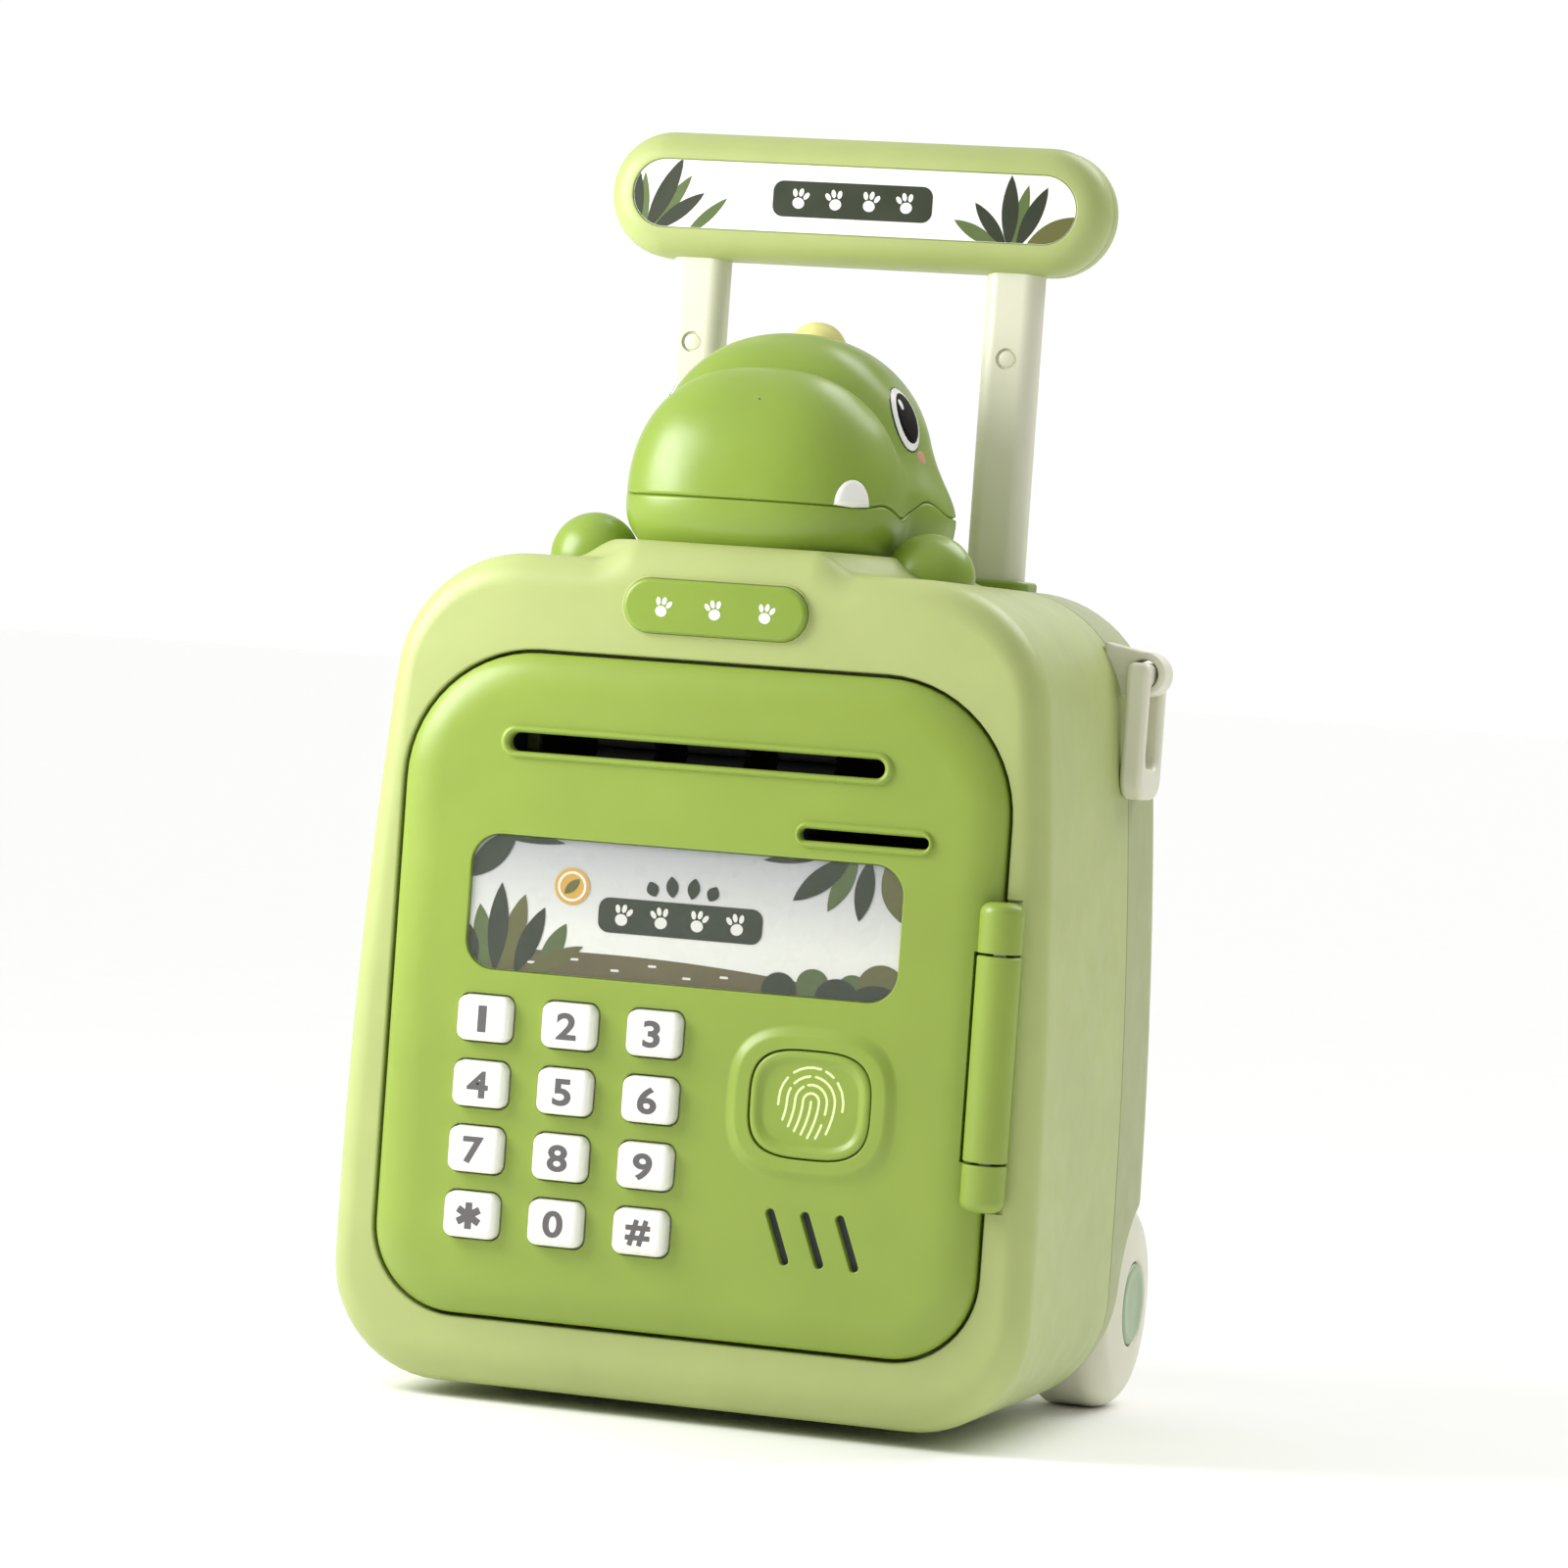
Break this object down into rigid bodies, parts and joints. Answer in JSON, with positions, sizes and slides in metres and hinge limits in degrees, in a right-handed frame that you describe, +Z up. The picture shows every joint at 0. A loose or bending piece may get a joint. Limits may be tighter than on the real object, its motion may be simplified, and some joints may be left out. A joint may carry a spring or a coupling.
{
  "type": "toy safe coin bank",
  "caption": "Toy safe coin bank shaped like a small trolley case: hinged keypad door with note and coin slots, dinosaur head on top, pull-out handle and wheels.",
  "frame": {"origin": "centre of the object's box, on the floor it stands on", "axes": "+X to the viewer's right, +Y from the door to the back, +Z up"},
  "size_m": [0.1808, 0.1512, 0.306],
  "materials": {
    "pale_green": "satin moulded ABS",
    "grey_green": "satin moulded ABS",
    "door_green": "satin moulded ABS",
    "leaf_green": "satin moulded ABS",
    "cream": "satin moulded ABS",
    "yellow": "satin moulded ABS",
    "white": "gloss",
    "key_white": "satin keycap",
    "rubber_grey": "silicone rubber",
    "rubber_dark": "matte rubber",
    "steel": "plated steel",
    "dark_plastic": "matte",
    "grey_plastic": "matte",
    "board": "circuit board",
    "clear": "clear acrylic",
    "card": "printed card",
    "cell": "battery sleeve"
  },
  "bodies": {
    "cabinet": {"front_shell": "pale_green", "rear_shell": "grey_green", "hinge_knuckle": "door_green", "hinge_pin": "steel", "nameplate": "leaf_green", "head_upper": "leaf_green", "head_jaw": "leaf_green", "head_crest": "yellow", "eyes": "white", "tooth": "white", "paws": "leaf_green", "post_collars": "leaf_green", "post_guides": "grey_plastic", "front_feet": "pale_green", "strap_lugs": "cream", "axle_pins": "steel", "shell_screws": "steel"},
    "door": {"door_panel": "door_green", "door_cover": "grey_green", "door_screws": "steel", "window_lens": "clear", "window_card": "card", "roller_frame": "dark_plastic", "feed_motor": "grey_plastic", "coin_chute": "dark_plastic", "key_mat": "rubber_grey", "main_board": "board", "speaker": "dark_plastic", "batteries": "cell", "battery_cover": "grey_green", "lock_actuator": "dark_plastic"},
    "handle": {"handle_posts": "cream", "grip_front": "pale_green", "grip_rear": "pale_green", "grip_label": "card", "grip_screws": "steel"},
    "left_wheel": {"wheel_left": "cream", "hub_left": "door_green"},
    "right_wheel": {"wheel_right": "cream", "hub_right": "door_green"},
    "left_ring": {"ring_left": "cream"},
    "right_ring": {"ring_right": "cream"},
    "lower_roller": {"drive_roller": "rubber_dark", "drive_gear": "white"},
    "upper_roller": {"idler_roller": "rubber_dark"},
    "pinion": {"motor_pinion": "steel"},
    "bolt": {"lock_bolt": "steel"},
    "fingerprint_button": {"finger_button": "door_green"},
    "key_1_body": {"key_1": "key_white"},
    "key_2_body": {"key_2": "key_white"},
    "key_3_body": {"key_3": "key_white"},
    "key_4_body": {"key_4": "key_white"},
    "key_5_body": {"key_5": "key_white"},
    "key_6_body": {"key_6": "key_white"},
    "key_7_body": {"key_7": "key_white"},
    "key_8_body": {"key_8": "key_white"},
    "key_9_body": {"key_9": "key_white"},
    "key_star_body": {"key_star": "key_white"},
    "key_0_body": {"key_0": "key_white"},
    "key_hash_body": {"key_hash": "key_white"}
  },
  "joints": [
    {"name": "door_hinge", "type": "hinge", "parent": "cabinet", "child": "door", "pos_m": [0.0742, -0.0705, 0.091], "axis": [0, 0, 1], "range_deg": [0, 105]},
    {"name": "handle_slide", "type": "slide", "parent": "cabinet", "child": "handle", "axis": [0, 0, 1], "range_m": [-0.062, 0]},
    {"name": "left_wheel_spin", "type": "hinge", "parent": "cabinet", "child": "left_wheel", "pos_m": [-0.072, 0.0496, 0.026], "axis": [1, 0, 0], "continuous": true},
    {"name": "right_wheel_spin", "type": "hinge", "parent": "cabinet", "child": "right_wheel", "pos_m": [0.072, 0.0496, 0.026], "axis": [1, 0, 0], "continuous": true},
    {"name": "left_ring_swing", "type": "hinge", "parent": "cabinet", "child": "left_ring", "pos_m": [-0.0834, 0.014, 0.1805], "axis": [0, 1, 0], "range_deg": [0, 90]},
    {"name": "right_ring_swing", "type": "hinge", "parent": "cabinet", "child": "right_ring", "pos_m": [0.0834, 0.014, 0.1805], "axis": [0, -1, 0], "range_deg": [0, 90]},
    {"name": "roller_spin", "type": "hinge", "parent": "door", "child": "lower_roller", "pos_m": [0, -0.0565, 0.151], "axis": [1, 0, 0], "continuous": true},
    {"name": "idler_spin", "type": "hinge", "parent": "door", "child": "upper_roller", "pos_m": [0, -0.0565, 0.1584], "axis": [1, 0, 0], "continuous": true},
    {"name": "pinion_spin", "type": "hinge", "parent": "door", "child": "pinion", "pos_m": [-0.05, -0.0565, 0.139], "axis": [1, 0, 0], "continuous": true},
    {"name": "bolt_slide", "type": "slide", "parent": "door", "child": "bolt", "axis": [-1, 0, 0], "range_m": [0, 0.006]},
    {"name": "fingerprint_press", "type": "slide", "parent": "door", "child": "fingerprint_button", "axis": [0, 1, 0], "range_m": [0, 0.0014], "stiffness_N_per_m": 500},
    {"name": "key_1_press", "type": "slide", "parent": "door", "child": "key_1_body", "axis": [0, 1, 0], "range_m": [0, 0.0014], "stiffness_N_per_m": 400},
    {"name": "key_2_press", "type": "slide", "parent": "door", "child": "key_2_body", "axis": [0, 1, 0], "range_m": [0, 0.0014], "stiffness_N_per_m": 400},
    {"name": "key_3_press", "type": "slide", "parent": "door", "child": "key_3_body", "axis": [0, 1, 0], "range_m": [0, 0.0014], "stiffness_N_per_m": 400},
    {"name": "key_4_press", "type": "slide", "parent": "door", "child": "key_4_body", "axis": [0, 1, 0], "range_m": [0, 0.0014], "stiffness_N_per_m": 400},
    {"name": "key_5_press", "type": "slide", "parent": "door", "child": "key_5_body", "axis": [0, 1, 0], "range_m": [0, 0.0014], "stiffness_N_per_m": 400},
    {"name": "key_6_press", "type": "slide", "parent": "door", "child": "key_6_body", "axis": [0, 1, 0], "range_m": [0, 0.0014], "stiffness_N_per_m": 400},
    {"name": "key_7_press", "type": "slide", "parent": "door", "child": "key_7_body", "axis": [0, 1, 0], "range_m": [0, 0.0014], "stiffness_N_per_m": 400},
    {"name": "key_8_press", "type": "slide", "parent": "door", "child": "key_8_body", "axis": [0, 1, 0], "range_m": [0, 0.0014], "stiffness_N_per_m": 400},
    {"name": "key_9_press", "type": "slide", "parent": "door", "child": "key_9_body", "axis": [0, 1, 0], "range_m": [0, 0.0014], "stiffness_N_per_m": 400},
    {"name": "key_star_press", "type": "slide", "parent": "door", "child": "key_star_body", "axis": [0, 1, 0], "range_m": [0, 0.0014], "stiffness_N_per_m": 400},
    {"name": "key_0_press", "type": "slide", "parent": "door", "child": "key_0_body", "axis": [0, 1, 0], "range_m": [0, 0.0014], "stiffness_N_per_m": 400},
    {"name": "key_hash_press", "type": "slide", "parent": "door", "child": "key_hash_body", "axis": [0, 1, 0], "range_m": [0, 0.0014], "stiffness_N_per_m": 400}
  ],
  "couplings": [
    {"joint": "idler_spin", "follows": "roller_spin", "ratio": -1},
    {"joint": "pinion_spin", "follows": "roller_spin", "ratio": -2.3333}
  ]
}
